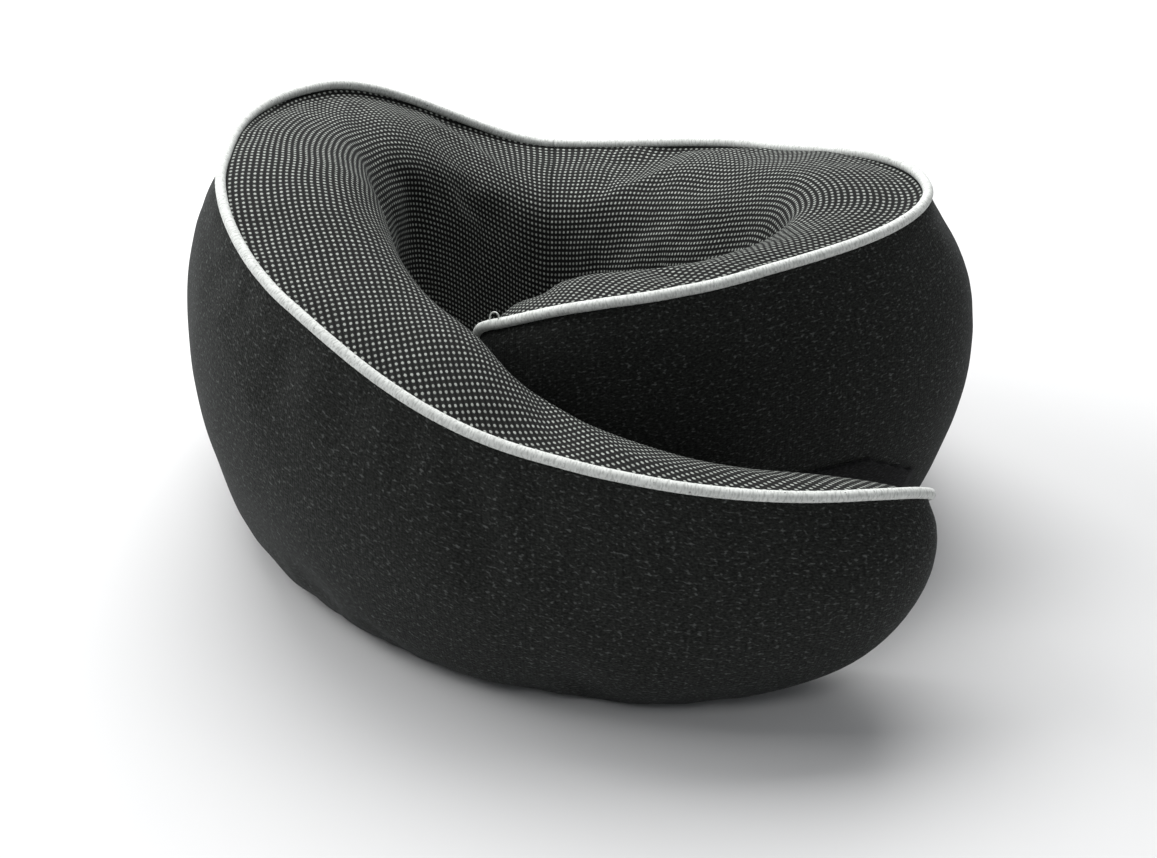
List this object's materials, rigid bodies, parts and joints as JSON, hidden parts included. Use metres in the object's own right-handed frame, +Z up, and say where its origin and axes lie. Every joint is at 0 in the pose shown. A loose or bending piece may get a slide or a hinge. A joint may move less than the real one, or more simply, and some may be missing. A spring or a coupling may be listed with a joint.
{
  "type": "neck pillow",
  "caption": "Wrap-around memory foam neck pillow: a padded U whose arms overlap at the front, with knit cover, contrast piping, zip and hook-and-loop patch.",
  "frame": {"origin": "on the surface the pillow stands on, below the centre of its bounding box", "axes": "+Z up, +Y towards the back of the neck, +X towards the side where the inner arm starts"},
  "size_m": [0.2577, 0.2524, 0.125],
  "materials": {
    "foam": "open-cell polyurethane memory foam, cream",
    "heather_knit": "charcoal heather jersey with fine pale flecks, matt",
    "dotted_knit": "near-black ribbed knit with a regular grid of small pale grey dots",
    "piping_cord": "off-white round knitted cord",
    "zip_tape": "black woven tape",
    "zip_coil": "black nylon coil and moulded stops",
    "zip_metal": "black enamelled zinc",
    "hook_tape": "black nylon hook tape",
    "loop_tape": "black brushed nylon loop tape"
  },
  "bodies": {
    "back": {"foam_core_back": "foam", "cover_outer_panel_back": "heather_knit", "cover_neck_panel_back": "dotted_knit", "cover_base_panel_back": "heather_knit", "piping_back": "piping_cord", "zip_tape_upper": "zip_tape", "zip_tape_lower": "zip_tape", "zip_coil_upper": "zip_coil", "zip_coil_lower": "zip_coil", "zip_top_stops": "zip_coil", "zip_bottom_stop": "zip_coil"},
    "left_arm": {"foam_core_left_arm": "foam", "cover_outer_panel_left_arm": "heather_knit", "cover_neck_panel_left_arm": "dotted_knit", "cover_base_panel_left_arm": "heather_knit", "piping_left_arm": "piping_cord", "hook_patch": "hook_tape"},
    "right_arm": {"foam_core_right_arm": "foam", "cover_outer_panel_right_arm": "heather_knit", "cover_neck_panel_right_arm": "dotted_knit", "cover_base_panel_right_arm": "heather_knit", "piping_right_arm": "piping_cord", "loop_patch": "loop_tape"},
    "zip_slider": {"zip_slider": "zip_metal"},
    "zip_pull": {"zip_pull": "zip_metal"}
  },
  "joints": [
    {"name": "left_arm_flex", "type": "hinge", "parent": "back", "child": "left_arm", "pos_m": [-0.1306, 0.0007, 0.06], "axis": [0, 0, -1], "range_deg": [0, 45], "stiffness_Nm_per_rad": 0.8},
    {"name": "right_arm_flex", "type": "hinge", "parent": "back", "child": "right_arm", "pos_m": [0.1304, 0.0007, 0.06], "axis": [0, 0, 1], "range_deg": [0, 25]},
    {"name": "zip_run", "type": "hinge", "parent": "back", "child": "zip_slider", "pos_m": [-0.0196, -0.0043, 0.016], "axis": [0, 0, 1], "range_deg": [0, 66]},
    {"name": "zip_pull_flip", "type": "hinge", "parent": "zip_slider", "child": "zip_pull", "pos_m": [0.05132, 0.10085, 0.01526], "axis": [0.1067, 0.1582, 0.9816], "range_deg": [-170, 0]}
  ],
  "couplings": [
    {"joint": "right_arm_flex", "follows": "left_arm_flex", "ratio": 0.5555}
  ]
}
